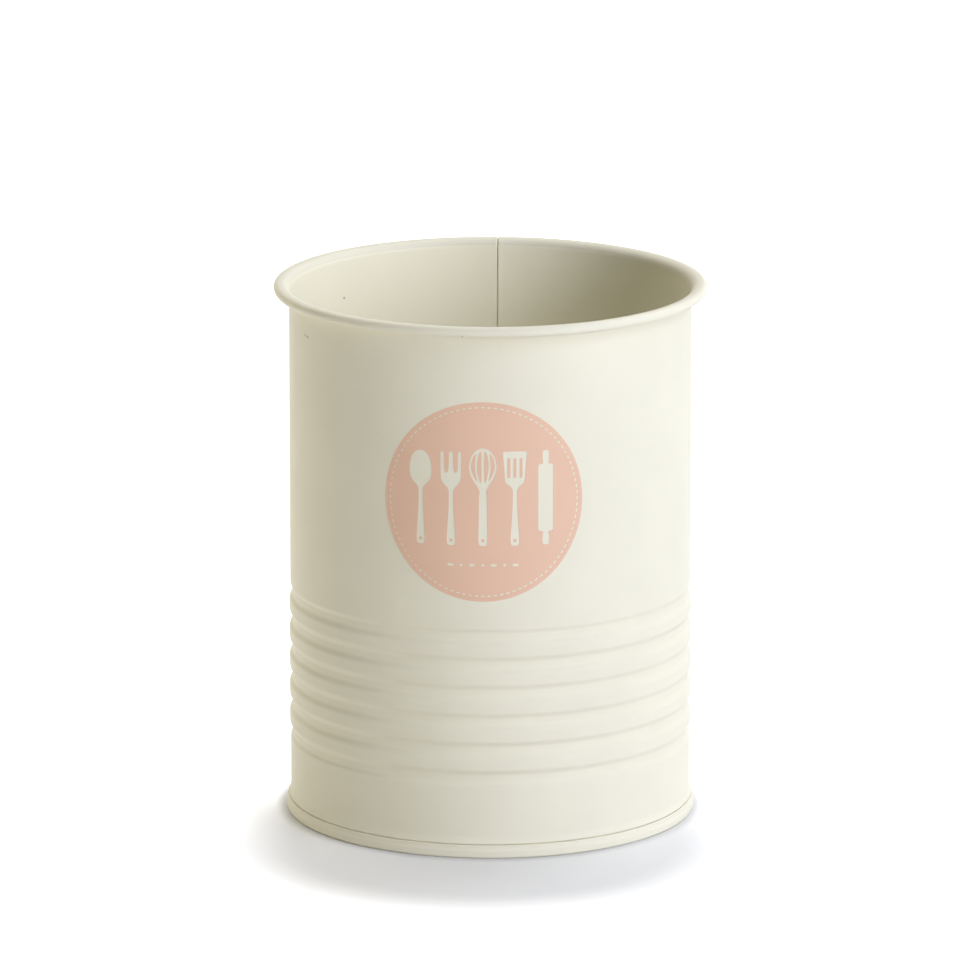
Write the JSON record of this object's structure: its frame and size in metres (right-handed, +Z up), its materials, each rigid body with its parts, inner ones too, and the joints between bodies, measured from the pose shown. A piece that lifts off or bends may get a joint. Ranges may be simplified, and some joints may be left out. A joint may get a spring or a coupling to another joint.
{
  "type": "utensil holder",
  "caption": "Open-topped round metal utensil holder with a rolled rim, ring grooves, a side seam, a double-seamed base and a printed roundel.",
  "frame": {"origin": "middle of the base ring's standing face, on the holder's axis", "axes": "+Z up along the holder's axis; the printed roundel faces -Y and the side seam is at +Y"},
  "size_m": [0.129, 0.129, 0.161],
  "materials": {
    "cream_paint": "satin",
    "pink_print": "satin"
  },
  "bodies": {
    "root": {"side_wall": "cream_paint", "base_plate": "cream_paint", "print_roundel": "pink_print"}
  },
  "joints": []
}
